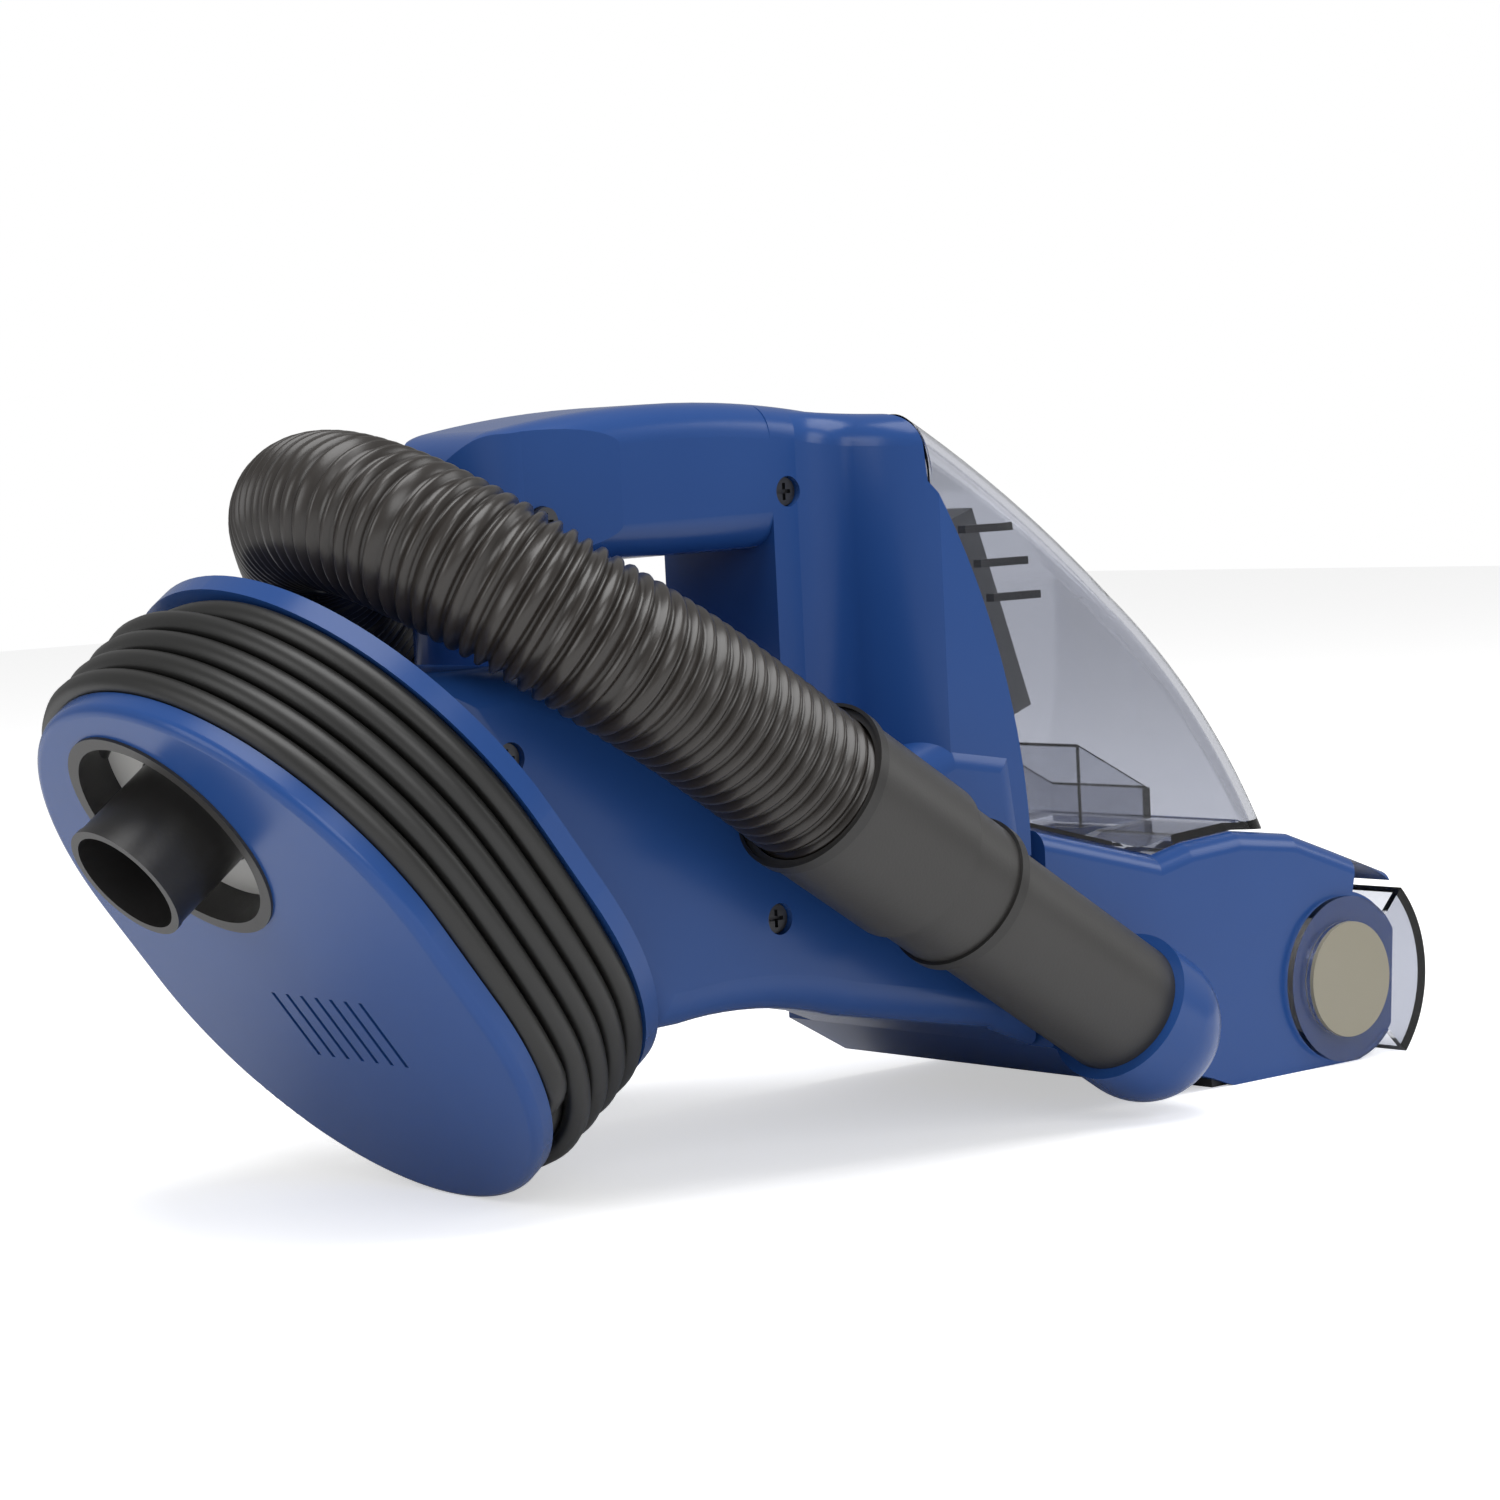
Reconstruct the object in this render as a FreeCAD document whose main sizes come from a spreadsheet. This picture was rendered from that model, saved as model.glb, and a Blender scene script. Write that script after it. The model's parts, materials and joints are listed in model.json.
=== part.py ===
# Corded handheld vacuum with an on-board stretch hose, a cord spool and a revolving brush.
# Frame: +X to the nozzle, +Z up, origin on the floor under the middle of the body.
# Lengths are millimetres, angles degrees.
import FreeCAD, Part
import os
from math import acos, cos, hypot, pi, radians, sin, tan

import Sketcher
from FreeCAD import Placement, Rotation, Vector

doc = FreeCAD.newDocument("handheld_vacuum")
sheet = doc.addObject("Spreadsheet::Sheet", "Sizes")

SIZES = {
    # rear plate and cord spool, seen along the plate's own inclined axis
    "plate_lean": 36.6, "plate_x": -176.4, "plate_z": 95.34,
    "egg_radius": 67.5, "egg_top": -28.5, "egg_low": -52.5,
    "plate_thick": 6, "groove_wide": 34, "flange_thick": 5, "core_radius": 52,
    "well_shift": 7, "well_radius": 29.4, "well_deep": 9, "seat_thick": 3,
    "slit_long": 21, "slit_wide": 1.4, "slit_pitch": 6, "slit_low": -62,
    # crevice tool parked in the well
    "tool_radius": 15.75, "tool_wall": 1.8, "tool_proud": 16.5, "tool_deep": 62,
    "tool_gap": 0.5, "tool_taper": 34,
    # body shell
    "wall": 2.5, "housing_half": 51, "grip_half": 22, "front_half": 50,
    "edge_round": 9, "brow_round": 8, "brow_round_inside": 2.5, "top_z": 190.6,
    # motor and fan
    "motor_x": -58, "motor_z": 69, "motor_radius": 23.5, "motor_long": 62, "shaft_radius": 4,
    "fan_radius": 24.5, "fan_thick": 12, "bearing_radius": 11, "bearing_thick": 7,
    "rotor_radius": 15, "rotor_long": 32,
    # brush and nose
    "brush_x": 163.5, "brush_z": 23.6, "brush_radius": 22.6, "brush_core": 13, "brush_half": 44, "axle_radius": 3,
    "nose_half": 52, "nose_wall": 2.4, "visor_radius": 33, "visor_wall": 2, "visor_gap": 0.6,
    "hub_ring": 23, "hub_cap": 16, "belt_y": 38, "belt_wide": 6, "belt_thick": 1.6,
    "drive_x": 112, "drive_z": 32, "drive_radius": 7, "brush_motor_radius": 13,
    "brush_motor_long": 42, "belt_seat": 11, "nose_round": 5, "fairing_radius": 20.5,
    # clear cup and filter
    "cup_wall": 2.2, "cup_half": 48, "cup_round": 12, "filter_half": 30, "filter_high": 56, "filter_long": 26,
    # hose and its fittings
    "hose_radius": 19.2, "hose_bore": 15.5, "port_radius": 17.6, "cuff_radius": 21,
    "neck_radius": 19.3, "port_wall": 2,
    # mains cord
    "cord_radius": 3.25, "coil_outer": 70.8, "coil_gap": 0.3,
    "plug_long": 34, "plug_high": 22, "plug_thick": 13, "relief_long": 24,
    # switch, latch and screws
    "switch_x": -7, "switch_z": 184, "switch_pin": 1, "switch_long": 17, "switch_wide": 9, "travel_gap": 0.4,
    "screw_head": 3.6, "screw_shank": 1.9, "screw_long": 14,
}
for row, (name, number) in enumerate(SIZES.items(), 1):
    sheet.set(f"A{row}", name)
    sheet.set(f"B{row}", str(number))
    sheet.setAlias(f"B{row}", name)
doc.recompute()

X, Y, Z = Vector(1, 0, 0), Vector(0, 1, 0), Vector(0, 0, 1)
sub_parts = []


def v(name):
    """One driving size, read from the sheet."""
    return float(sheet.get(name))


def number(expression):
    """The value of a size, or of a sum of sizes, written with the sheet's names."""
    if isinstance(expression, (int, float)):
        return float(expression)
    total, sign = 0.0, 1.0
    for word in expression.split():
        if word in "+-":
            sign = 1.0 if word == "+" else -1.0
            continue
        product = 1.0
        for factor in word.split("*"):
            product *= v(factor) if factor in SIZES else float(factor)
        total += sign * product
        sign = 1.0
    return total


def cells(expression):
    """The same sum in the document's expression language."""
    if isinstance(expression, (int, float)):
        return str(expression)
    words = []
    for word in expression.split():
        words.append("*".join(f"Sizes.{f}" if f in SIZES else f for f in word.split("*")))
    return " ".join(words)


def keep(item, label, place=None):
    """Names a finished sub-part and puts it in its place."""
    item.Label = label
    if place is not None:
        item.Placement = place
    sub_parts.append(item)
    return item


def keep_shape(label, shape):
    """A sub-part whose free form is worked out with Part's own functions."""
    item = doc.addObject("Part::Feature", label)
    item.Shape = shape
    return keep(item, label)


def along(point, direction, spin=0.0):
    """A placement whose local Z runs along direction from point."""
    turn = Rotation(Z, Vector(*direction)) * Rotation(Z, spin)
    return Placement(Vector(*point), turn)


def plane_sketch(body, role, name="Outline", offset=None):
    sketch = body.newObject("Sketcher::SketchObject", f"{body.Name}_{name}")
    plane = [f for f in body.Origin.OriginFeatures if f.Role == role][0]
    sketch.AttachmentSupport = [(plane, "")]
    sketch.MapMode = "FlatFace"
    if offset is not None:
        sketch.setExpression("AttachmentOffset.Base.z", cells(offset))
    return sketch


def outline(sketch, points):
    """A closed outline whose every corner is held by two named sizes."""
    spots = [Vector(number(a), number(b), 0) for a, b in points]
    first = sketch.GeometryCount
    count = len(spots)
    for i in range(count):
        sketch.addGeometry(Part.LineSegment(spots[i], spots[(i + 1) % count]), False)
    for i in range(count):
        line, after = first + i, first + (i + 1) % count
        sketch.addConstraint(Sketcher.Constraint("Coincident", line, 2, after, 1))
    for i, (a, b) in enumerate(points):
        for kind, size, value in (("DistanceX", a, spots[i].x), ("DistanceY", b, spots[i].y)):
            if abs(value) < 1e-9:
                axis = -2 if kind == "DistanceX" else -1
                sketch.addConstraint(Sketcher.Constraint("PointOnObject", first + i, 1, axis))
                continue
            index = sketch.addConstraint(
                Sketcher.Constraint(kind, -1, 1, first + i, 1, value))
            sketch.setExpression(f"Constraints[{index}]", cells(size))


def stadium(sketch, radius, low="egg_low", high="egg_top"):
    """Two equal arcs joined by straight sides, the outline of the spool and its plates."""
    r, y0, y1 = number(radius), number(low), number(high)
    ends = ((y1, 0.0, pi), (y0, pi, 2 * pi))
    first = sketch.GeometryCount
    for y, start, stop in ends:
        circle = Part.Circle(Vector(0, y, 0), Z, r)
        sketch.addGeometry(Part.ArcOfCircle(circle, start, stop), False)
    sketch.addGeometry(Part.LineSegment(Vector(-r, y1, 0), Vector(-r, y0, 0)), False)
    sketch.addGeometry(Part.LineSegment(Vector(r, y0, 0), Vector(r, y1, 0)), False)
    top, bottom, left, right = first, first + 1, first + 2, first + 3
    for a, pa, b, pb in ((top, 2, left, 1), (left, 2, bottom, 1),
                         (bottom, 2, right, 1), (right, 2, top, 1)):
        sketch.addConstraint(Sketcher.Constraint("Tangent", a, pa, b, pb))
    for arc, y, size in ((top, y1, high), (bottom, y0, low)):
        sketch.addConstraint(Sketcher.Constraint("PointOnObject", arc, 3, -2))
        index = sketch.addConstraint(Sketcher.Constraint("DistanceY", -1, 1, arc, 3, y))
        sketch.setExpression(f"Constraints[{index}]", cells(size))
    index = sketch.addConstraint(Sketcher.Constraint("Radius", top, r))
    sketch.setExpression(f"Constraints[{index}]", cells(radius))


def circle(sketch, x, y, radius):
    index = sketch.addGeometry(
        Part.Circle(Vector(number(x), number(y), 0), Z, number(radius)), False)
    for kind, size in (("DistanceX", x), ("DistanceY", y)):
        if abs(number(size)) < 1e-9:
            axis = -2 if kind == "DistanceX" else -1
            sketch.addConstraint(Sketcher.Constraint("PointOnObject", index, 3, axis))
            continue
        held = sketch.addConstraint(Sketcher.Constraint(kind, -1, 1, index, 3, number(size)))
        sketch.setExpression(f"Constraints[{held}]", cells(size))
    held = sketch.addConstraint(Sketcher.Constraint("Radius", index, number(radius)))
    sketch.setExpression(f"Constraints[{held}]", cells(radius))


def pad(body, sketch, length, both=False):
    feature = body.newObject("PartDesign::Pad", f"{body.Name}_Pad")
    feature.Profile = sketch
    feature.Length = number(length)
    feature.setExpression("Length", cells(length))
    if both:
        feature.Midplane = True
    return feature


def pocket(body, sketch, length, reverse=True):
    feature = body.newObject("PartDesign::Pocket", f"{body.Name}_Pocket")
    feature.Profile = sketch
    feature.Length = number(length)
    feature.setExpression("Length", cells(length))
    feature.Reversed = reverse
    return feature


def turned(label, points, place=None):
    """A round piece: an outline of (radius, height) corners turned about its own Z."""
    body = doc.addObject("PartDesign::Body", label)
    sketch = plane_sketch(body, "XZ_Plane")
    outline(sketch, points)
    turn = body.newObject("PartDesign::Revolution", f"{label}_Turn")
    turn.Profile = sketch
    turn.ReferenceAxis = (sketch, ["V_Axis"])
    turn.Angle = 360
    return keep(body, label, place)


def padded(label, points, length, place=None, both=False):
    """A flat piece: an outline of (x, y) corners made length thick along its own Z."""
    body = doc.addObject("PartDesign::Body", label)
    sketch = plane_sketch(body, "XY_Plane")
    outline(sketch, points)
    pad(body, sketch, length, both)
    return keep(body, label, place)


def ring(inner, outer, low, high):
    return [(inner, low), (outer, low), (outer, high), (inner, high)]


def group(label, base, places):
    """Copies of one shape, as separate solids of one node."""
    copies = [base.transformed(p.toMatrix()) for p in places]
    return keep_shape(label, Part.makeCompound(copies))


# ---- outlines in the side view --------------------------------------------------------------
# A corner is (x, z). A corner (x, z, mx, mz) is reached by an arc through (mx, mz).

def side_face(corners, inset=0.0):
    """A face in the middle plane, drawn in by inset."""
    edges = []
    here = Vector(corners[0][0], 0, corners[0][1])
    start = here
    for corner in corners[1:] + corners[:1]:
        there = Vector(corner[0], 0, corner[1])
        if there.distanceToPoint(here) < 1e-6:
            continue
        if len(corner) == 4:
            edges.append(Part.Arc(here, Vector(corner[2], 0, corner[3]), there).toShape())
        else:
            edges.append(Part.LineSegment(here, there).toShape())
        here = there
    assert here.distanceToPoint(start) < 1e-6
    face = Part.Face(Part.Wire(edges))
    if inset:
        face = face.makeOffset2D(-inset)
    return face


def slab(corners, half, inset=0.0, rounding=0.0):
    """The outline made 2*half wide about the middle plane, with rounded side edges."""
    width = half - inset
    face = side_face(corners, inset).translated(Vector(0, width, 0))
    solid = face.extrude(Vector(0, -2 * width, 0))
    if rounding > inset:
        rims = [e for e in solid.Edges if abs(abs(e.BoundBox.Center.y) - width) < 0.01
                and e.BoundBox.YLength < 0.01]
        solid = solid.makeFillet(rounding - inset, rims)
    return solid


def box(x0, x1, y0, y1, z0, z1):
    return Part.makeBox(x1 - x0, y1 - y0, z1 - z0, Vector(x0, y0, z0))


def rod(radius, start, direction, length):
    return Part.makeCylinder(radius, length, Vector(*start), Vector(*direction))


# ---- the inclined frame of the spool ---------------------------------------------------------
# Local X points to the far side, local Y up the plate, local Z into the body.

lean = radians(v("plate_lean"))
spool = Placement(Vector(v("plate_x"), 0, v("plate_z")),
                  Rotation(Y, Vector(-sin(lean), 0, cos(lean)),
                           Vector(cos(lean), 0, sin(lean)), "XYZ"))


def on_plate(x, y, z):
    """A point of the spool's frame, in the object's frame."""
    return spool.multVec(Vector(x, y, z))


def stadium_solid(radius, low, high, start, stop):
    """A solid of the spool's outline between two depths behind the plate's outer face."""
    left, right = Vector(-radius, high, start), Vector(radius, high, start)
    down_left, down_right = Vector(-radius, low, start), Vector(radius, low, start)
    edges = [Part.Arc(left, Vector(0, high + radius, start), right).toShape(),
             Part.LineSegment(right, down_right).toShape(),
             Part.Arc(down_right, Vector(0, low - radius, start), down_left).toShape(),
             Part.LineSegment(down_left, left).toShape()]
    solid = Part.Face(Part.Wire(edges)).extrude(Vector(0, 0, stop - start))
    return solid.transformed(spool.toMatrix())


egg = (v("egg_low"), v("egg_top"))
flange_start = v("plate_thick") + v("groove_wide")
flange_stop = flange_start + v("flange_thick")

# ---- main body: two moulded halves -----------------------------------------------------------

flange_foot = on_plate(0, -102, flange_stop)
flange_head = on_plate(0, 11, flange_stop)
front_x, window_x = -11.3, -84
HOUSING = [
    (flange_foot.x, flange_foot.z), (-69.5, 40.6), (-17.5, 36, -45, 41.2), (34.5, 26), (50, 19.5),
    (50, 70), (47, 77), (44, 100), (20, 104), (-5, 96), (-32, 99), (-62, 109), (-91, 122),
    (-118, 131), (flange_head.x, flange_head.z)]
GRIP = [
    (-105, 112), (-105, 171.3), (-93, v("top_z") - 5, -101.6, 180.6),
    (-36.5, v("top_z"), -65, v("top_z") - 1.27), (17, 185.5, -8, 189.15), (17, 160),
    (front_x, 153), (window_x, 152.2), (window_x, 112)]
FRAME_RING = [
    (front_x, 70), (front_x, 189.2), (17, 185.5), (18, 168), (47, 77, 38.5, 124), (47, 70)]
FLARE = [
    (-140, 0), (-140, 22), (-3, 22), (8, 32, 3.6, 25), (20, 50, 13.5, 43), (80, 50), (80, -50),
    (20, -50), (8, -32, 13.5, -43), (-3, -22, 3.6, -25), (-140, -22)]


def flared(inset):
    """The plan outline that widens from the grip to the frame of the dust cup."""
    face = side_face(FLARE, inset)
    face.rotate(Vector(), X, -90)
    return face.extrude(Vector(0, 0, 220))


def handle_plan(inset):
    """The plan outline of the handle, with its round rear end."""
    half = v("grip_half")
    outline = [(-87, -18), (-87, 18, -105, 0), (-60, half), (40, half), (40, -half), (-60, -half)]
    face = side_face(outline, inset)
    face.rotate(Vector(), X, -90)
    return face.extrude(Vector(0, 0, 220))


def body_form(inset):
    """The outer form of the main body, or its hollow when drawn in by the wall."""
    rounding = v("edge_round")
    form = slab(HOUSING, v("housing_half"), inset, rounding)
    grip = slab(GRIP, v("grip_half"), inset, rounding).common(handle_plan(inset))
    ring_part = slab(FRAME_RING, v("front_half"), inset).common(flared(inset))
    brow = [e for e in ring_part.Edges if e.BoundBox.ZMin > v("top_z") - 9
            and abs(e.BoundBox.Center.y) > v("grip_half") / 2]
    ring_part = ring_part.makeFillet(v("brow_round_inside" if inset else "brow_round"), brow)
    form = form.fuse([grip, ring_part])
    if inset:
        return form
    flange = stadium_solid(v("egg_radius") + 2, *egg, flange_start, flange_stop)
    return form.fuse(flange).removeSplitter()


# ---- hose and port line ----------------------------------------------------------------------
# The port tube, cuff and hose share one straight line up the near side of the body.

PORT_MOUTH = Vector(59.7, -66.5, 30.3)
PORT_LINE = Vector(-0.85, -0.06, 0.525).normalize()
CUFF_START, CUFF_STEP, CUFF_END = 70, 88, 128
HOSE = [(-45.7, -73.9, 95.4), (-78, -74, 118), (-108, -71, 136), (-131, -52, 156),
        (-139, -22, 168), (-134, 6, 169), (-119, 27, 162), (-100, 48, 150), (-76, 66, 134),
        (-46, 74, 116), (-14, 74.5, 98)]
CORD_LEAD = [(-68.4, 60, 47.2), (-85.4, 70, 53.3), (-104.2, 76, 64.3), (-120.1, 75, 81.1),
             (-138.4, 66.5, 105.6)]
CORD_TAIL = [(-92.7, 14, 9.9), (-93, 32, 8), (-91, 50, 5.4), (-80, 66, 6.2), (-57, 73, 6.9)]


def port_at(distance):
    return PORT_MOUTH + PORT_LINE * distance


def arc_path(points):
    """Straight runs joined by tangent arcs, as large as the runs at each corner allow."""
    spots = [Vector(*p) for p in points]
    edges, here, radii = [], spots[0], []
    for before, corner, after in zip(spots, spots[1:], spots[2:]):
        back, ahead = (before - corner), (after - corner)
        reach = 0.45 * min(back.Length, ahead.Length)
        back.normalize()
        ahead.normalize()
        turn = pi - back.getAngle(ahead)
        radii.append(round(reach / tan(turn / 2), 1))
        start, stop = corner + back * reach, corner + ahead * reach
        middle = (back + ahead).normalize()
        rise = radii[-1] * (1 / cos(turn / 2) - 1)
        edges.append(Part.LineSegment(here, start).toShape())
        edges.append(Part.Arc(start, corner + middle * rise, stop).toShape())
        here = stop
    edges.append(Part.LineSegment(here, spots[-1]).toShape())
    return Part.Wire(edges), radii


def hose_tube(label, points, radius):
    """A round tube along the route; its volume is held against section times length."""
    path, radii = arc_path(points)
    run = Vector(*points[1]) - Vector(*points[0])
    ring_wire = Part.Wire(Part.makeCircle(radius, Vector(*points[0]), run))
    tube = path.makePipeShell([ring_wire], True, False)
    share = tube.Volume / (pi * radius ** 2 * path.Length)
    print(label, "radii", radii, "length", round(path.Length, 1), "volume share", round(share, 4))
    return tube


# ---- main body shells ------------------------------------------------------------------------

outer = body_form(0.0)
hollow = body_form(v("wall"))
PULL = Vector(0.944, 0, 0.33).normalize()
filter_place = Placement(Vector(34.5, 0, 125),
                         Rotation(Y, Vector(-PULL.z, 0, PULL.x), PULL, "XYZ"))
sleeve_radius = v("tool_radius") + v("tool_gap")
sleeve_outer = sleeve_radius + 1.8
SLEEVE_STOP = 50
well_axis = along(on_plate(v("well_shift"), 0, 0), spool.Rotation.multVec(Z))

HOUSING_SCREWS = [(-40.6, 63.5), (-120.2, 109.7)]
GRIP_SCREWS = [(-82.5, 163), (-6, 167)]
SCREW_SEAT = 4
boss_radius, blind_boss = v("screw_head") + 2, 21
screw_spots = [(x, -v("housing_half"), z) for x, z in HOUSING_SCREWS]
screw_spots += [(x, -v("grip_half"), z) for x, z in GRIP_SCREWS]
near_bosses, far_bosses, head_holes, shank_holes = [], [], [], []
for (x, y, z) in screw_spots:
    deep = blind_boss if (x, z) in HOUSING_SCREWS else -y
    near_bosses.append(rod(boss_radius, (x, y + 1, z), Y, deep - 1))
    head_holes.append(rod(v("screw_head") + 0.3, (x, y - 3, z), Y, 3 + SCREW_SEAT))
    shank_holes.append(rod(v("screw_shank"), (x, y, z), Y, v("screw_long") + SCREW_SEAT + 6))
    if deep == -y:
        far_bosses.append(rod(boss_radius - 1, (x, 0, z), Y, -y - 1))

filter_w, filter_h = v("filter_half"), v("filter_high") / 2
window = Part.makeBox(2 * filter_w + 0.6, 2 * filter_h + 0.6, 24,
                      Vector(-filter_w - 0.3, -filter_h - 0.3, -12))
window = window.transformed(filter_place.toMatrix())
sleeve_hole = rod(sleeve_outer + 0.2, on_plate(v("well_shift"), 0, flange_start - 1),
                  spool.Rotation.multVec(Z), v("tool_deep") - flange_start + 4)
switch_half, button_half = v("switch_long") / 2, v("switch_wide") / 2
switch_well = box(v("switch_x") - switch_half, v("switch_x") + switch_half,
                  -button_half, button_half, 178, 200)
LATCH_X, LATCH_HALF, LATCH_LONG = 4.5, 7, 8
latch_well = box(LATCH_X, LATCH_X + LATCH_LONG, -LATCH_HALF, LATCH_HALF, 176, 200)

port_room = rod(v("port_radius") + 0.05, port_at(-8), PORT_LINE, 95)
fitting_rooms = [port_room, rod(v("neck_radius") + 1, port_at(CUFF_START - 3.1), PORT_LINE, 22),
                 rod(v("cuff_radius") + 1, port_at(CUFF_STEP - 0.1), PORT_LINE, 42)]

cuts = [hollow, window, sleeve_hole, switch_well, latch_well] + fitting_rooms
near_space, far_space = box(-260, 260, -200, 0, -50, 300), box(-260, 260, 0, 200, -50, 300)
near = outer.cut(cuts).common(near_space)
near = near.fuse([b.common(outer) for b in near_bosses]).cut(head_holes + shank_holes)
keep_shape("shell_near", near)
far = outer.cut(cuts).common(far_space).fuse([b.common(outer) for b in far_bosses])
keep_shape("shell_far", far.cut(shank_holes))

head = rod(v("screw_head"), (0, 0, 0), Y, 2.4).fuse(
    rod(v("screw_shank"), (0, 2.4, 0), Y, v("screw_long")))
head = head.cut([box(-2.2, 2.2, -1, 1.2, -0.5, 0.5), box(-0.5, 0.5, -1, 1.2, -2.2, 2.2)])
seats = [Placement(Vector(x, y + SCREW_SEAT - 2.4, z), Rotation()) for x, y, z in screw_spots]
group("shell_screws", head, seats)

# ---- rear plate, spool and tool well ---------------------------------------------------------

plate = doc.addObject("PartDesign::Body", "rear_plate")
face = plane_sketch(plate, "XY_Plane")
stadium(face, "egg_radius")
plate_pad = pad(plate, face, "plate_thick")
doc.recompute()
round_rim = plate.newObject("PartDesign::Fillet", "plate_rim")
rim_edges = [f"Edge{i + 1}" for i, e in enumerate(plate_pad.Shape.Edges)
             if e.BoundBox.ZMax < 0.01]
round_rim.Base = (plate_pad, rim_edges)
round_rim.Radius = 2.5
well_sketch = plane_sketch(plate, "XY_Plane", "Well")
circle(well_sketch, "well_shift", 0, "well_radius")
pocket(plate, well_sketch, "plate_thick")
slit_sketch = plane_sketch(plate, "XY_Plane", "Slits")
for i in range(7):
    offset = f"{i - 3}*slit_pitch + -4"
    outline(slit_sketch, [
        (offset, "slit_low + -0.5*slit_long"), (offset + " + slit_wide", "slit_low + -0.5*slit_long"),
        (offset + " + slit_wide", "slit_low + 0.5*slit_long"), (offset, "slit_low + 0.5*slit_long")])
pocket(plate, slit_sketch, "plate_thick")
keep(plate, "rear_plate", spool)

core = doc.addObject("PartDesign::Body", "spool_core")
core_sketch = plane_sketch(core, "XY_Plane", offset="plate_thick")
stadium(core_sketch, "core_radius")
stadium(core_sketch, "core_radius + -1*wall")
pad(core, core_sketch, "groove_wide")
well_room = plane_sketch(core, "XY_Plane", "WellRoom", offset="plate_thick")
circle(well_room, "well_shift", 0, "well_radius")
pocket(core, well_room, "well_deep + seat_thick + -1*plate_thick + 0.2")
keep(core, "spool_core", spool)

turned("well_ring", [
    ("well_radius + -2.2", -0.8), ("well_radius + 1", -0.8), ("well_radius + 1", 0),
    ("well_radius + -0.1", 0), ("well_radius + -0.1", "well_deep"),
    ("well_radius + -2.2", "well_deep")], well_axis)
turned("tool_seat", ring("tool_radius + tool_gap", "well_radius + -0.1", "well_deep",
                         "well_deep + seat_thick"), well_axis)
turned("tool_sleeve", ring("tool_radius + tool_gap", "tool_radius + tool_gap + 1.8",
                           "well_deep + seat_thick", SLEEVE_STOP), well_axis)


def crevice_form(radius, start, taper, stop, tip):
    """A round tube whose end is cut to a flat wedge, in the well's own frame."""
    round_part = rod(radius, (0, 0, start), Z, stop - start)
    wedge = Part.makePolygon([Vector(0, -radius - 1, start), Vector(0, radius + 1, start),
                              Vector(0, radius + 1, taper), Vector(0, tip, stop),
                              Vector(0, -tip, stop), Vector(0, -radius - 1, taper),
                              Vector(0, -radius - 1, start)])
    wedge = Part.Face(wedge).translated(Vector(-40, 0, 0)).extrude(Vector(80, 0, 0))
    return round_part.common(wedge)


tool = crevice_form(v("tool_radius"), -v("tool_proud"), v("tool_taper"), v("tool_deep"), 6)
bore = crevice_form(v("tool_radius") - v("tool_wall"), -v("tool_proud") - 1, v("tool_taper"),
                    v("tool_deep") + 1, 6 - v("tool_wall"))
lip = rod(v("tool_radius") + 0.3, (0, 0, -v("tool_proud")), Z, 1.6)
keep_shape("crevice_tool", tool.fuse(lip).cut(bore).transformed(well_axis.toMatrix()))

# ---- motor and suction fan, on one axis through the body -------------------------------------

motor_axis = along((v("motor_x"), 0, v("motor_z")), X)
turned("motor_can", [
    (6, 0), ("motor_radius", 0), ("motor_radius", "motor_long"),
    ("bearing_radius + 1", "motor_long"), ("bearing_radius + 1", "motor_long + -1.6"),
    ("motor_radius + -1.6", "motor_long + -1.6"), ("motor_radius + -1.6", 1.6), (6, 1.6)],
    motor_axis)
turned("field_core", ring("rotor_radius + 0.8", "motor_radius + -1.65", 16, "rotor_long + 16"),
       motor_axis)
turned("rear_bearing", ring("shaft_radius + 0.05", "bearing_radius", 1.65,
                            "bearing_thick + 1.65"), motor_axis)
turned("front_bearing", ring("shaft_radius + 0.05", "bearing_radius",
                             "motor_long + -1*bearing_thick", "motor_long"), motor_axis)
turned("motor_shaft", [(0, -3), ("shaft_radius", -3), ("shaft_radius", "motor_long + 17"),
                       (0, "motor_long + 17")], motor_axis)
turned("armature", ring("shaft_radius", "rotor_radius", 16, "rotor_long + 16"), motor_axis)
turned("commutator", ring("shaft_radius", 9, 9.5, 15), motor_axis)
turned("motor_mount_ring", ring("motor_radius + 0.05", "motor_radius + 1.1", 6, 14), motor_axis)
fan_start = v("motor_long") + 4
turned("fan_housing", [
    ("bearing_radius + 1", "motor_long"), ("fan_radius + 2", "motor_long"),
    ("fan_radius + 2", "motor_long + 20"), (15, "motor_long + 20"),
    (15, "motor_long + 18.5"), ("fan_radius + 0.8", "motor_long + 18.5"),
    ("fan_radius + 0.8", "motor_long + 1.5"), ("bearing_radius + 1", "motor_long + 1.5")],
    motor_axis)
turned("fan_seal", ring(16, "fan_radius + 1", "motor_long + 20", "motor_long + 23"), motor_axis)

disc = rod(v("fan_radius"), (0, 0, fan_start), Z, 1.6)
hub = rod(9, (0, 0, fan_start), Z, v("fan_thick"))
blades = []
for i in range(9):
    blade = Part.makeBox(v("fan_radius") - 9, 1.2, v("fan_thick"), Vector(8, -0.6, fan_start))
    blade.rotate(Vector(8, 0, 0), Z, -28)
    blade.rotate(Vector(), Z, i * 40)
    blades.append(blade)
fan = disc.fuse([hub] + blades).common(rod(v("fan_radius"), (0, 0, 0), Z, 200))
fan = fan.cut(rod(v("shaft_radius"), (0, 0, 0), Z, 200))
keep_shape("suction_fan", fan.transformed(motor_axis.toMatrix()))
carbon = box(9.3, 20, -2.5, 2.5, 10, 14)
group("carbon_brushes", carbon.transformed(motor_axis.toMatrix()), [
    Placement(), Placement(Vector(), Rotation(X, 180), Vector(0, 0, v("motor_z")))])

# ---- clear dust cup and filter ---------------------------------------------------------------

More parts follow.
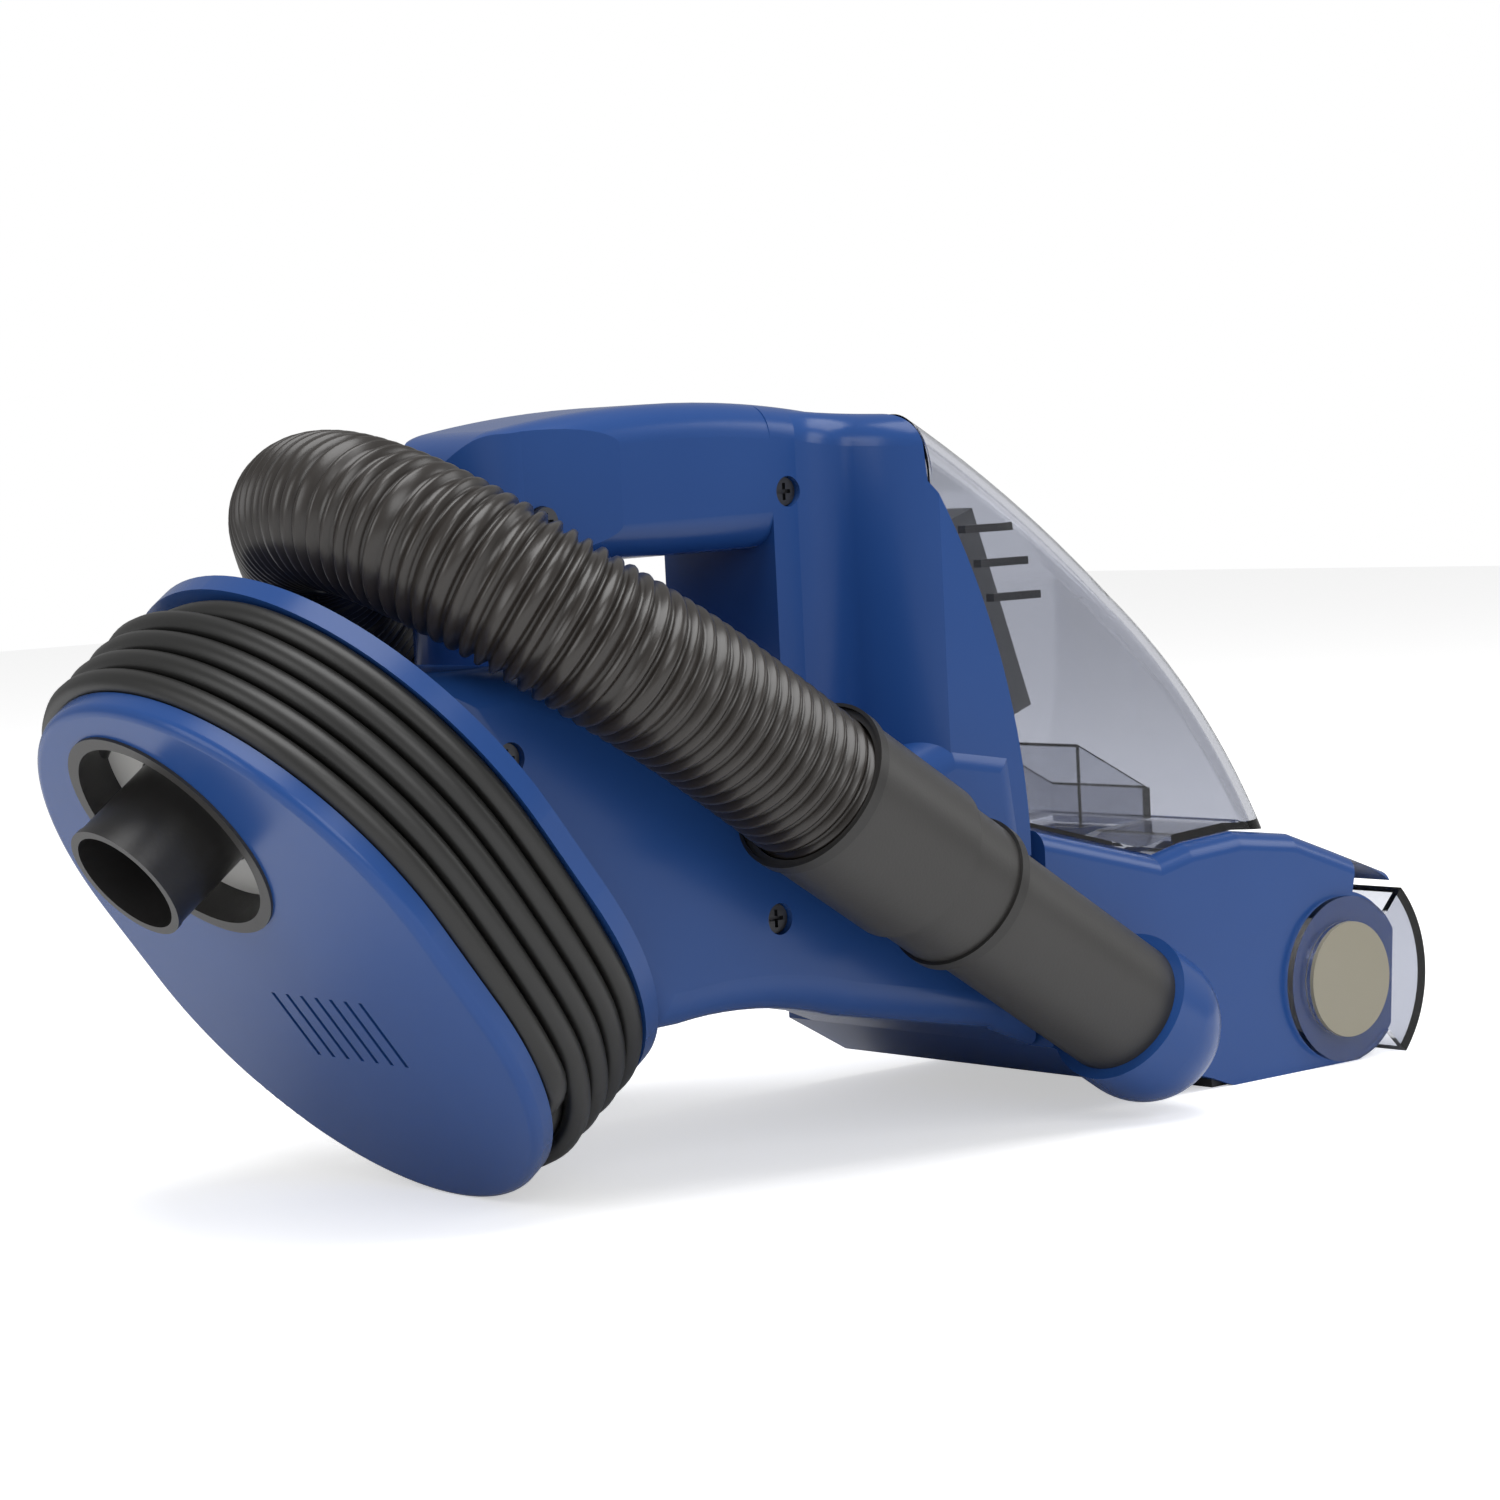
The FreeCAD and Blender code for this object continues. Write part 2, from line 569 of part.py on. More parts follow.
GAP = v("travel_gap")
CUP = [(18 + GAP, 185.2), (88.8, 136, 54, 163), (145.5, 67, 121, 104.5), (125, 68.7),
       (105, 67.5), (93.5, 65.2), (47.6 + GAP, 77.2), (18.6 + GAP, 167, 39 + GAP, 124)]


def cup_form(inset):
    form = slab(CUP, v("cup_half"), inset)
    crown = [e for e in form.Edges if e.BoundBox.YLength < 0.01 and e.Length > 60
             and e.BoundBox.Center.x > 50 and e.BoundBox.Center.z > 80]
    return form.makeFillet(v("cup_round") - inset, crown)


cup_hollow = cup_form(v("cup_wall"))
cup = cup_form(0).cut([cup_hollow, cup_hollow.translated(Vector(-3.4, 0, 0))])
DUCT = (98, 122, -17, 17)
duct_hole = box(DUCT[0], DUCT[1], DUCT[2], DUCT[3], 60, 72)
keep_shape("dust_cup", cup.cut(duct_hole))
duct_out = box(DUCT[0] - 1.8, DUCT[1] + 1.8, DUCT[2] - 1.8, DUCT[3] + 1.8, 71, 104)
duct_in = box(*DUCT, 60, 120)
slant = box(80, 140, -40, 40, 0, 40)
slant.rotate(Vector(), Y, 28)
slant.translate(Vector(0, 0, 145))
keep_shape("cup_duct", duct_out.cut([duct_in, slant]))
ribs = [box(x, x + 17, v("cup_wall") + 0.01 - v("cup_half"), 5 - v("cup_half"), z - 1, z + 1)
        for x, z in ((32, 155), (37, 146), (41, 137))]
keep_shape("cup_ribs", Part.makeCompound(ribs).cut(cup))

frame_block = Part.makeBox(2 * filter_w, 2 * filter_h, v("filter_long") + 5,
                           Vector(-filter_w, -filter_h, -5))
frame_bore = Part.makeBox(2 * filter_w - 4, 2 * filter_h - 4, v("filter_long") + 7,
                          Vector(2 - filter_w, 2 - filter_h, -6))
keep_shape("filter_frame", frame_block.cut(frame_bore).transformed(filter_place.toMatrix()))
pleats = 9
pitch = (2 * filter_h - 5) / pleats
fold = []
for i in range(pleats):
    low = -filter_h + 2.5 + i * pitch
    fold += [Vector(0, low, 4), Vector(0, low + pitch / 2, 20)]
fold.append(Vector(0, filter_h - 2.5, 4))
back = [p + Vector(0, 0, -2.2) for p in reversed(fold)]
paper = Part.Face(Part.makePolygon(fold + back + fold[:1]))
paper = paper.translated(Vector(2.3 - filter_w, 0, 0)).extrude(Vector(2 * filter_w - 4.6, 0, 0))
keep_shape("filter_pleats", paper.transformed(filter_place.toMatrix()))

# ---- nose, visor and brush roll --------------------------------------------------------------

bx, bz = v("brush_x"), v("brush_z")
NOSE = [(50, 19.5), (50, 76), (93.5, 64.8), (105, 67.1), (125, 68.3), (147.5, 65.4),
        (164, 59.4), (186.5, 51), (186, 48.4), (182, 0), (118, 0), (110, 3), (93.5, 8),
        (70.5, 8)]


def sector(radius, start, stop, half):
    """A wedge about the brush axis, from start to stop degrees above the forward direction."""
    a, b, m = radians(start), radians(stop), radians((start + stop) / 2)
    points = [Vector(bx + radius * cos(t), 0, bz + radius * sin(t)) for t in (a, m, b)]
    centre = Vector(bx, 0, bz)
    wire = Part.Wire([Part.LineSegment(centre, points[0]).toShape(), Part.Arc(*points).toShape(),
                      Part.LineSegment(points[2], centre).toShape()])
    return Part.Face(wire).translated(Vector(0, half, 0)).extrude(Vector(0, -2 * half, 0))


chamber = v("visor_radius") + v("visor_gap")
nose_half, nose_wall = v("nose_half"), v("nose_wall")
nose_outer = slab(NOSE, nose_half, 0.0)
brow_edges = [e for e in nose_outer.Edges if e.BoundBox.YLength < 0.01
              and e.BoundBox.ZMin > 50 and e.Length > 4 and e.BoundBox.XMin > 49.9
              and e.BoundBox.XLength > 4]
nose_outer = nose_outer.makeFillet(v("nose_round"), brow_edges)
fairing_centre = port_at(-11)
fairing = Part.makeSphere(v("fairing_radius"), fairing_centre).fuse(
    rod(v("fairing_radius"), fairing_centre, PORT_LINE, 11))
fairing_hollow = Part.makeSphere(v("fairing_radius") - nose_wall, fairing_centre).fuse(
    rod(v("port_radius") + 0.05, fairing_centre, PORT_LINE, 14))
nose_hollow = slab(NOSE, nose_half, nose_wall).common(box(0, 136, -80, 80, 0, 90))
inner_half = nose_half - nose_wall
brush_room = rod(chamber, (bx, -inner_half, bz), Y, 2 * inner_half)
side_cut = sector(60, -90, 40, 60).fuse(sector(chamber, 39, 76, 60))
side_cut = side_cut.cut(rod(v("hub_ring") + 1.3, (bx, -60, bz), Y, 120))
front_cut = sector(60, -90, 40, inner_half)
sole_gap = box(133, 190, -inner_half, inner_half, -1, 14)
throat = box(120, 150, -inner_half + 4, inner_half - 4, 14, 46)
cup_hole = box(*DUCT, 50, 80)
sole_seat = box(100, 133.01, -inner_half, inner_half, -1, 2.4)
nose = nose_outer.fuse(fairing).cut(
    [nose_hollow, fairing_hollow, port_room, brush_room, side_cut, front_cut, sole_gap, throat, cup_hole,
     sole_seat])
keep_shape("nose_shell", nose)
padded("sole_plate", [(112, "-1*nose_half + nose_wall + 0.2"), (133, "-1*nose_half + nose_wall + 0.2"),
                      (133, "nose_half + -1*nose_wall + -0.2"),
                      (112, "nose_half + -1*nose_wall + -0.2")], 2.2)

band = sector(v("visor_radius"), -45, 44, nose_half + 2.4)
band = band.cut(rod(v("visor_radius") - v("visor_wall"), (bx, -60, bz), Y, 120))
visor = [band]
for side in (-1, 1):
    plate_y = side * (nose_half + 0.4)
    cheek = rod(v("hub_ring"), (bx, plate_y, bz), Y * side, v("visor_wall"))
    wing = sector(v("visor_radius"), -45, 44, nose_half + 0.4 + v("visor_wall"))
    slice_box = box(0, 300, *sorted((plate_y, plate_y + side * v("visor_wall"))), -50, 100)
    visor += [cheek, wing.common(slice_box)]
riser = visor[0].fuse(visor[1:]).cut(rod(v("hub_cap") + 0.05, (bx, -80, bz), Y, 160))
keep_shape("riser_visor", riser.removeSplitter())
cap = rod(v("hub_cap"), (bx, nose_half, bz), Y, 3.6)
keep_shape("visor_hubs", Part.makeCompound([cap, cap.mirror(Vector(), Y)]))

brush_axis = along((bx, 0, bz), Y)
belt_low = v("belt_y") - v("belt_wide") / 2
half_core = v("brush_half")
turned("brush_roll", [
    (0, "-1*brush_half + -4.5"), ("axle_radius", "-1*brush_half + -4.5"),
    ("axle_radius", "-1*brush_half"), ("brush_core", "-1*brush_half"),
    ("brush_core", "belt_y + -0.5*belt_wide + -1"), ("belt_seat", "belt_y + -0.5*belt_wide + -1"),
    ("belt_seat", "belt_y + 0.5*belt_wide + 1"), ("brush_core", "belt_y + 0.5*belt_wide + 1"),
    ("brush_core", "brush_half"), ("axle_radius", "brush_half"),
    ("axle_radius", "brush_half + 4.5"), (0, "brush_half + 4.5")], brush_axis)
tufts = []
reach = v("brush_radius") - v("brush_core")
for i in range(10):
    y = -half_core + 4 + i * 7.4
    for turn_start in (0, 180):
        tuft = box(-1.6, 1.6, y, y + 5, v("brush_core") - 0.4, v("brush_core") + reach)
        tuft.rotate(Vector(), Y, turn_start + i * 17)
        tufts.append(tuft.translated(Vector(bx, 0, bz)))
keep_shape("brush_tufts", Part.makeCompound(tufts).cut(rod(v("brush_core"), (bx, -60, bz), Y, 120)))
bearing_ring = rod(8, (bx, half_core + 0.8, bz), Y, inner_half - half_core - 0.8).cut(
    rod(v("axle_radius") + 0.05, (bx, half_core, bz), Y, 10))
keep_shape("brush_bearings", Part.makeCompound([bearing_ring, bearing_ring.mirror(Vector(), Y)]))

dx, dz = v("drive_x"), v("drive_z")
drive_axis = along((dx, 0, dz), Y)
drive_end = belt_low - 3
turned("brush_motor", [(2.4, "belt_y + -48"), ("brush_motor_radius", "belt_y + -48"),
                       ("brush_motor_radius", "belt_y + -6"), (2.4, "belt_y + -6")], drive_axis)
turned("drive_pulley", [
    (0, "belt_y + -47"), (2.35, "belt_y + -47"), (2.35, "belt_y + -5"),
    ("drive_radius + 1.8", "belt_y + -5"), ("drive_radius + 1.8", "belt_y + -0.5*belt_wide + -0.4"),
    ("drive_radius", "belt_y + -0.5*belt_wide + -0.4"),
    ("drive_radius", "belt_y + 0.5*belt_wide + 0.4"),
    ("drive_radius + 1.8", "belt_y + 0.5*belt_wide + 0.4"),
    ("drive_radius + 1.8", "belt_y + 5"), (0, "belt_y + 5")], drive_axis)


def belt_form(grow):
    """The area inside an open belt round the drive pulley and the brush roll."""
    span = hypot(bx - dx, bz - dz)
    tilt = Vector(bx - dx, 0, bz - dz).normalize()
    side = Vector(-tilt.z, 0, tilt.x)
    r0, r1 = v("drive_radius") + grow, v("belt_seat") + grow
    lean_in = acos((r0 - r1) / span)
    def rim(centre, radius, angle):
        return centre + (tilt * cos(angle) + side * sin(angle)) * radius
    c0, c1 = Vector(dx, belt_low, dz), Vector(bx, belt_low, bz)
    top0, top1 = rim(c0, r0, lean_in), rim(c1, r1, lean_in)
    low0, low1 = rim(c0, r0, -lean_in), rim(c1, r1, -lean_in)
    wire = Part.Wire([Part.LineSegment(top0, top1).toShape(),
                      Part.Arc(top1, rim(c1, r1, 0), low1).toShape(),
                      Part.LineSegment(low1, low0).toShape(),
                      Part.Arc(low0, rim(c0, r0, pi), top0).toShape()])
    return Part.Face(wire).extrude(Vector(0, v("belt_wide"), 0))


keep_shape("drive_belt", belt_form(v("belt_thick")).cut(belt_form(0.06)))

# ---- hose, cuffs and ports -------------------------------------------------------------------

def on_port(start):
    return along(port_at(start), PORT_LINE)


turned("port_tube", ring("port_radius + -2", "port_radius", -8, 84), on_port(0))
turned("hose_cuff", [
    ("port_radius + 0.05", CUFF_START), ("neck_radius", CUFF_START), ("neck_radius", CUFF_STEP),
    ("cuff_radius", CUFF_STEP), ("cuff_radius", CUFF_END), ("hose_radius + 0.1", CUFF_END),
    ("hose_radius + 0.1", 112), ("port_radius + 0.05", 112)], on_port(0))
turned("cuff_collar", ring("cuff_radius", "cuff_radius + 0.9", "126", "129"), on_port(0))
turned("port_collar", ring("port_radius + 0.05", "neck_radius + 0.9", CUFF_START - 3, CUFF_START),
       on_port(0))
hose_outer = hose_tube("hose", HOSE, v("hose_radius"))
hose_core = hose_tube("hose bore", HOSE, v("hose_bore"))
keep_shape("stretch_hose", hose_outer.cut(hose_core))
far_line = (Vector(*HOSE[-1]) - Vector(*HOSE[-2])).normalize()
far_axis = along(HOSE[-1], far_line)
turned("far_cuff", [
    ("hose_radius + 0.1", -14), ("cuff_radius", -14), ("cuff_radius", 24), ("neck_radius", 24),
    ("neck_radius", 34), ("port_radius + -1", 34), ("port_radius + -1", 1),
    ("hose_radius + 0.1", 1)], far_axis)
peg = Vector(*HOSE[-1]) + far_line * 36
stem = rod(14, Vector(*HOSE[-1]) + far_line * 12, far_line, 27)
foot = rod(13, (peg.x + 2, v("housing_half"), peg.z), Y, peg.y - v("housing_half"))
foot = foot.cut(rod(v("cuff_radius") + 0.05, HOSE[-1], far_line, 24.05))
foot = foot.cut(rod(v("neck_radius") + 0.05, HOSE[-1], far_line, 34.05))
keep_shape("hose_peg", stem.fuse(foot))

# ---- mains cord, its strain relief and plug --------------------------------------------------

coil_in = v("core_radius") + v("coil_gap")
coil = stadium_solid(v("coil_outer"), *egg, v("plate_thick") + 0.2, flange_start - 0.2)
coil = coil.cut(stadium_solid(coil_in, *egg, v("plate_thick"), flange_start))
coil = coil.cut(rod(v("well_radius") + v("coil_gap"), on_plate(v("well_shift"), 0, 0),
                    spool.Rotation.multVec(Z), v("well_deep") + v("seat_thick") + v("coil_gap")))
keep_shape("cord_coil", coil)
keep_shape("cord_lead", hose_tube("cord_lead", CORD_LEAD, v("cord_radius")).cut([coil, outer]))
keep_shape("cord_tail", hose_tube("cord_tail", CORD_TAIL, v("cord_radius")).cut(coil))
lead_start = Vector(*CORD_LEAD[0])
lead_line = (lead_start - Vector(*CORD_LEAD[1])).normalize()
relief = Part.makeCone(v("cord_radius") + 1, v("cord_radius") + 3.4, v("relief_long"),
                       lead_start, lead_line)
keep_shape("strain_relief", relief.cut(outer))
tail_end = Vector(*CORD_TAIL[-1])
plug_long, plug_high, plug_thick = v("plug_long"), v("plug_high"), v("plug_thick")
plug_line = (tail_end - Vector(*CORD_TAIL[-2])).normalize()
plug_place = Placement(tail_end, Rotation(Vector(), Z.cross(plug_line), plug_line, "ZYX"))
plug = Part.makeBox(plug_thick, plug_high, plug_long, Vector(-plug_thick / 2, -plug_high / 2, 0))
plug = plug.makeFillet(3, plug.Edges)
plug = plug.transformed(plug_place.toMatrix())
keep_shape("plug_body", plug)
blade = Part.makeBox(6.3, 1.5, 17, Vector(-3.15, -7.1, plug_long))
other = Part.makeBox(6.3, 1.5, 17, Vector(-3.15, 5.6, plug_long))
keep_shape("plug_blades", Part.makeCompound([blade, other]).transformed(plug_place.toMatrix()))

# ---- switch, latch and their inner parts -----------------------------------------------------

sx = v("switch_x")
rocker_half = switch_half - GAP
rocker = padded("power_switch", [
    (sx - rocker_half, 180.5), (sx + rocker_half, 180.5), (sx + rocker_half, 186.6), (sx, 188.2),
    (sx - rocker_half, 188.6)], "switch_wide + -2*travel_gap",
    Placement(Vector(0, button_half - GAP, 0), Rotation(X, 90)))
pivot_sketch = plane_sketch(rocker, "XY_Plane", "Pivot")
circle(pivot_sketch, "switch_x", "switch_z", "switch_pin + 0.05")
pocket(rocker, pivot_sketch, "switch_wide")
switch_base = box(sx - 9, sx + 9, -5.5, 5.5, 173.4, 178.4)
pin = rod(v("switch_pin"), (sx, -button_half, v("switch_z")), Y, v("switch_wide"))
keep_shape("switch_block", Part.makeCompound([switch_base, pin]))
padded("cup_latch", [
    (LATCH_X + 0.4, -6.6), (LATCH_X + 7.6, -6.6), (LATCH_X + 7.6, 6.6), (LATCH_X + 0.4, 6.6)],
    7.4, Placement(Vector(0, 0, 179), Rotation()))
turned("latch_spring", ring(2.2, 3, 0, 9), along((LATCH_X + 4, 0, 168), Z))

# ---- checks and files ------------------------------------------------------------------------

doc.recompute()
for item in doc.Objects:
    assert not {"Invalid", "Error"} & set(item.State), f"{item.Label}: {item.State}"
for item in sub_parts:
    assert not item.Shape.isNull() and item.Shape.isValid(), item.Label
os.makedirs("parts", exist_ok=True)
for item in sub_parts:
    item.Shape.exportStep(f"parts/{item.Label}.step")
print(len(sub_parts), "sub-parts written")
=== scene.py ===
import json
import math

import bmesh
import bpy
from mathutils import Matrix, Vector


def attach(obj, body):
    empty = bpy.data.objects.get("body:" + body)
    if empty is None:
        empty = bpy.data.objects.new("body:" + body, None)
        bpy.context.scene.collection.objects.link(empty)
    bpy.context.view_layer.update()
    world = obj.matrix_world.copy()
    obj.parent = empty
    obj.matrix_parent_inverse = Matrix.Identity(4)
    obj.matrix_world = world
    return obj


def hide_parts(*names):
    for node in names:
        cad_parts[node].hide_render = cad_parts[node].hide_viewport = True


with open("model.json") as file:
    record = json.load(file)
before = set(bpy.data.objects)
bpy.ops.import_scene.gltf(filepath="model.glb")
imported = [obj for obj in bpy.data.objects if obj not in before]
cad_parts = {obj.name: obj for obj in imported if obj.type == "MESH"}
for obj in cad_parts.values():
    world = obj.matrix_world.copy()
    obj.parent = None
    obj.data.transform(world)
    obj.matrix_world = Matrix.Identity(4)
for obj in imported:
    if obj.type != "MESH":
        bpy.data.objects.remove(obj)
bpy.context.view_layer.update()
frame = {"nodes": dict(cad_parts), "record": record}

nodes = frame["nodes"]
scene = bpy.context.scene
scene.view_settings.view_transform = "Standard"


# ---- camera, light and floor -----------------------------------------------------------------

eye = Vector((-0.6761, -0.785, 0.1784))
look = Vector((0.6485, 0.7575, -0.0752)).normalized()
up = Vector((0.0863, 0.025, 0.996))
right = look.cross(up).normalized()
up = right.cross(look)
camera = bpy.data.objects.new("camera", bpy.data.cameras.new("camera"))
camera.data.lens = 96
camera.data.sensor_width = 36
turn = Matrix((right, up, -look)).transposed().to_4x4()
camera.matrix_world = Matrix.Translation(eye) @ turn
scene.collection.objects.link(camera)
scene.camera = camera


def softbox(name, place, target, size, watts):
    """A square studio lamp that faces target."""
    lamp = bpy.data.lights.new(name, "AREA")
    lamp.size = size
    lamp.energy = watts
    stand = bpy.data.objects.new(name, lamp)
    stand.location = place
    stand.rotation_euler = (Vector(target) - Vector(place)).to_track_quat("-Z", "Y").to_euler()
    scene.collection.objects.link(stand)


softbox("overhead", (-0.1, -0.3, 1.5), (0, 0, 0.1), 1.1, 16)
softbox("near_side", (-0.5, -1.5, 0.9), (0, 0, 0.1), 0.9, 8)
softbox("rear_fill", (-1.5, 0.1, 0.6), (-0.1, 0, 0.1), 0.8, 5)
softbox("nose_fill", (1.3, -0.7, 0.8), (0.1, 0, 0.08), 0.7, 4)


def linear(code):
    """An sRGB hex colour as linear red, green, blue and alpha."""
    channels = [int(code[i:i + 2], 16) / 255 for i in (0, 2, 4)]
    return [c / 12.92 if c <= 0.04045 else ((c + 0.055) / 1.055) ** 2.4 for c in channels] + [1]


def add(tree, kind, settings=None, **links):
    """Adds a node, sets its named inputs and attributes, and links the sockets given by name."""
    node = tree.nodes.new(kind)
    for key, value in (settings or {}).items():
        if key in node.inputs:
            node.inputs[key].default_value = value
        else:
            setattr(node, key, value)
    for key, socket in links.items():
        tree.links.new(socket, node.inputs[key.replace("_", " ")])
    return node


def new_material(name):
    material = bpy.data.materials.new(name)
    material.use_nodes = True
    material.node_tree.nodes.clear()
    return material, material.node_tree


def seen_white(tree):
    """1 where a camera or see-through ray looks, so that the backdrop shows as white."""
    path = add(tree, "ShaderNodeLightPath")
    either = add(tree, "ShaderNodeMath", {"operation": "MAXIMUM"})
    tree.links.new(path.outputs["Is Camera Ray"], either.inputs[0])
    tree.links.new(path.outputs["Is Transmission Ray"], either.inputs[1])
    return either.outputs[0]


world = bpy.data.worlds.new("studio")
world.use_nodes = True
tree = world.node_tree
tree.nodes.clear()
dim = add(tree, "ShaderNodeBackground", {"Color": linear("ffffff"), "Strength": 0.4})
bright = add(tree, "ShaderNodeBackground", {"Color": linear("ffffff"), "Strength": 1.0})
choose = add(tree, "ShaderNodeMixShader", Fac=seen_white(tree))
tree.links.new(dim.outputs[0], choose.inputs[1])
tree.links.new(bright.outputs[0], choose.inputs[2])
tree.links.new(choose.outputs[0], add(tree, "ShaderNodeOutputWorld").inputs["Surface"])
scene.world = world

sheet = bmesh.new()
bmesh.ops.create_grid(sheet, x_segments=1, y_segments=1, size=3)
floor_mesh = bpy.data.meshes.new("studio_floor")
sheet.to_mesh(floor_mesh)
sheet.free()
floor = bpy.data.objects.new("studio_floor", floor_mesh)
scene.collection.objects.link(floor)
material, tree = new_material("white_paper")
paper = add(tree, "ShaderNodeBsdfPrincipled", {"Base Color": linear("fafafa"), "Roughness": 0.9})
lift = add(tree, "ShaderNodeEmission", {"Color": linear("ffffff"), "Strength": 0.5})
both = add(tree, "ShaderNodeAddShader")
plain = add(tree, "ShaderNodeMixShader", Fac=seen_white(tree))
tree.links.new(paper.outputs[0], both.inputs[0])
tree.links.new(lift.outputs[0], both.inputs[1])
tree.links.new(paper.outputs[0], plain.inputs[1])
tree.links.new(both.outputs[0], plain.inputs[2])
tree.links.new(plain.outputs[0], add(tree, "ShaderNodeOutputMaterial").inputs["Surface"])
floor_mesh.materials.append(material)


# ---- materials -------------------------------------------------------------------------------

MM = 0.001


def moulded(name, code, roughness, grain_mm, depth, tint="", spread=0.0, **finish):
    """A moulded plastic or rubber: its colour drifts slightly, and its skin has a fine grain."""
    material, tree = new_material(name)
    place = add(tree, "ShaderNodeTexCoord").outputs["Object"]
    skin = add(tree, "ShaderNodeTexNoise", {"Scale": 1 / (grain_mm * MM), "Detail": 3.0},
               Vector=place)
    drift = add(tree, "ShaderNodeTexNoise", {"Scale": 28.0, "Detail": 2.0}, Vector=place)
    colour = add(tree, "ShaderNodeMix", {"data_type": "RGBA"}, Factor=drift.outputs["Fac"])
    colour.inputs[6].default_value = linear(code)
    colour.inputs[7].default_value = linear(tint or code)
    shine = add(tree, "ShaderNodeMapRange", {"To Min": roughness - spread,
                                             "To Max": roughness + spread},
                Value=drift.outputs["Fac"])
    bump = add(tree, "ShaderNodeBump", {"Strength": depth, "Distance": 0.1 * MM},
               Height=skin.outputs["Fac"])
    shader = add(tree, "ShaderNodeBsdfPrincipled", finish, Base_Color=colour.outputs[2],
                 Roughness=shine.outputs[0], Normal=bump.outputs[0])
    tree.links.new(shader.outputs[0], add(tree, "ShaderNodeOutputMaterial").inputs["Surface"])
    return material


def clear_plastic(name, code, roughness):
    """Smoky polycarbonate. Lamps shine through it, so that what is inside stays lit."""
    material, tree = new_material(name)
    place = add(tree, "ShaderNodeTexCoord").outputs["Object"]
    wave = add(tree, "ShaderNodeTexNoise", {"Scale": 22.0, "Detail": 1.0}, Vector=place)
    bump = add(tree, "ShaderNodeBump", {"Strength": 0.12, "Distance": 0.4 * MM},
               Height=wave.outputs["Fac"])
    shader = add(tree, "ShaderNodeBsdfPrincipled",
                 {"Base Color": linear(code), "Roughness": roughness, "IOR": 1.3,
                  "Transmission Weight": 1.0}, Normal=bump.outputs[0])
    passing = add(tree, "ShaderNodeBsdfTransparent", {"Color": linear(code)})
    path = add(tree, "ShaderNodeLightPath")
    blend = add(tree, "ShaderNodeMixShader", Fac=path.outputs["Is Shadow Ray"])
    tree.links.new(shader.outputs[0], blend.inputs[1])
    tree.links.new(passing.outputs[0], blend.inputs[2])
    tree.links.new(blend.outputs[0], add(tree, "ShaderNodeOutputMaterial").inputs["Surface"])
    return material


def bare_metal(name, code, roughness):
    """Turned or stamped metal with faint tool lines."""
    material, tree = new_material(name)
    place = add(tree, "ShaderNodeTexCoord").outputs["Object"]
    stretch = add(tree, "ShaderNodeMapping", {"Scale": (1.0, 12.0, 1.0)}, Vector=place)
    lines = add(tree, "ShaderNodeTexNoise", {"Scale": 260.0, "Detail": 2.0},
                Vector=stretch.outputs[0])
    shine = add(tree, "ShaderNodeMapRange", {"To Min": roughness - 0.06,
                                             "To Max": roughness + 0.08},
                Value=lines.outputs["Fac"])
    shader = add(tree, "ShaderNodeBsdfPrincipled", {"Base Color": linear(code), "Metallic": 1.0},
                 Roughness=shine.outputs[0])
    tree.links.new(shader.outputs[0], add(tree, "ShaderNodeOutputMaterial").inputs["Surface"])
    return material


finishes = {
    # ABS from a polished mould: a deep blue with a hard, slightly wavy gloss
    "blue_gloss": moulded("blue_polished_abs", "20437e", 0.24, 2.2, 0.05, "244884", 0.03,
                          IOR=1.5, **{"Specular IOR Level": 0.32}),
    "smoke_clear": clear_plastic("smoky_polycarbonate", "c9cbd2", 0.04),
    "dark_trim": moulded("black_abs_trim", "1d1c1b", 0.45, 0.8, 0.2, IOR=1.53),
    # polypropylene from a spark-eroded mould: a fine even grain, drawn at 0.7 mm
    "black_plastic": moulded("black_grained_polypropylene", "2c2b2a", 0.42, 0.7, 0.35, "343332",
                             0.05, IOR=1.49),
    # blown vinyl over a wire: soft sheen on each rib
    "hose_vinyl": moulded("black_blown_vinyl", "25211e", 0.3, 1.2, 0.15, "2c2825", 0.05,
                          IOR=1.54),
    # extruded flexible vinyl jacket
    "cord_vinyl": moulded("black_cord_jacket", "10100f", 0.42, 1.0, 0.12, "151514", 0.05,
                          IOR=1.54),
    "brass": bare_metal("stamped_brass", "c9a55a", 0.32),
    # the tool seat is a light grey that paints the bright highlight at the foot of the tool
    # well: a painted highlight
    "pale_seat": moulded("tool_well_painted_highlight", "c9c8c5", 0.4, 0.8, 0.12, IOR=1.53),
    "olive_cap": moulded("olive_grey_abs", "8d887a", 0.36, 0.9, 0.15, "86816f", 0.04, IOR=1.53),
    "steel": bare_metal("bright_steel", "b9bbbd", 0.35),
    "carbon": moulded("pressed_carbon", "232323", 0.6, 0.5, 0.3),
    "rubber": moulded("black_rubber", "202020", 0.62, 0.8, 0.25),
    "fan_plastic": moulded("dark_glass_filled_nylon", "4b4b4a", 0.5, 0.6, 0.25, IOR=1.53),
    "filter_paper": moulded("pleated_paper", "e6e2d6", 0.85, 0.5, 0.4, "dcd8ca", 0.05),
    "brush_core": moulded("black_turned_abs", "272625", 0.4, 0.9, 0.15, IOR=1.53),
    "bristle": moulded("nylon_bristle", "1a1a1a", 0.5, 0.35, 0.8),
}

# a few pieces are a darker batch of their slot's stuff
darker = {
    "shell_screws": bare_metal("blackened_screw_steel", "55565a", 0.4),
    "crevice_tool": moulded("black_smooth_polypropylene", "1f1e1e", 0.36, 0.9, 0.2, "262525",
                            0.04, IOR=1.49),
}
for part in frame["record"]["subparts"]:
    holder = nodes[part["node"]]
    holder.data.materials.clear()
    holder.data.materials.append(darker.get(part["node"], finishes[part["material_slot"]]))


def settle(piece, body, slot_name):
    """Gives a new piece the finish of the named slot, and its body."""
    piece.data.materials.append(finishes[slot_name])
    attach(piece, body)
    return piece


